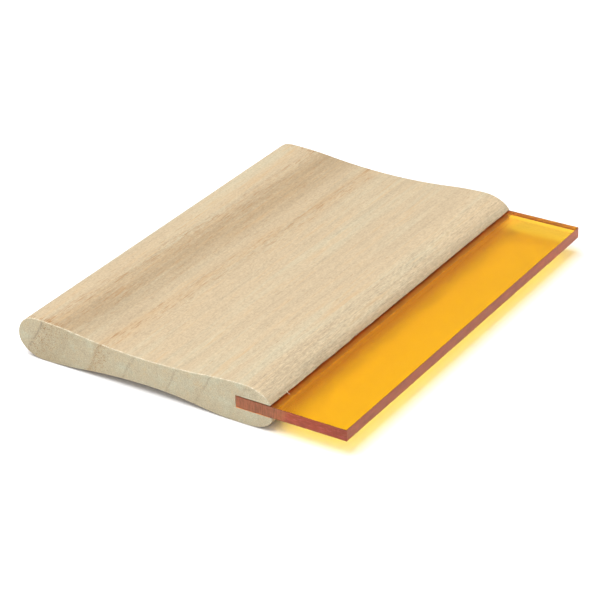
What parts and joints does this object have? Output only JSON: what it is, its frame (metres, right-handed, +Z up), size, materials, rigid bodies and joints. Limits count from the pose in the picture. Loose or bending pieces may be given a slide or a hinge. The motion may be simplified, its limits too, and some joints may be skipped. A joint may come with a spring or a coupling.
{
  "type": "hand squeegee",
  "caption": "Hand squeegee: a waisted wooden grip with a flexible amber blade bonded into a groove along its front, for drawing ink or pressing film flat.",
  "frame": {"origin": "on the bench under the middle of the whole tool, handle and blade together", "axes": "+X from the handle's butt to the blade's tip, +Y along the length of the handle and blade, +Z up from the bench"},
  "size_m": [0.1572, 0.19, 0.0184],
  "materials": {
    "wood": "matte",
    "blade_rubber": "gloss",
    "cured_adhesive": "satin"
  },
  "bodies": {
    "handle": {"handle": "wood", "adhesive": "cured_adhesive"},
    "blade": {"blade": "blade_rubber"}
  },
  "joints": [
    {"name": "blade_flex", "type": "hinge", "parent": "handle", "child": "blade", "pos_m": [0.0502, 0, 0.0092], "axis": [0, 1, 0], "range_deg": [-12, 12], "stiffness_Nm_per_rad": 1, "deforming": ["blade"]}
  ]
}
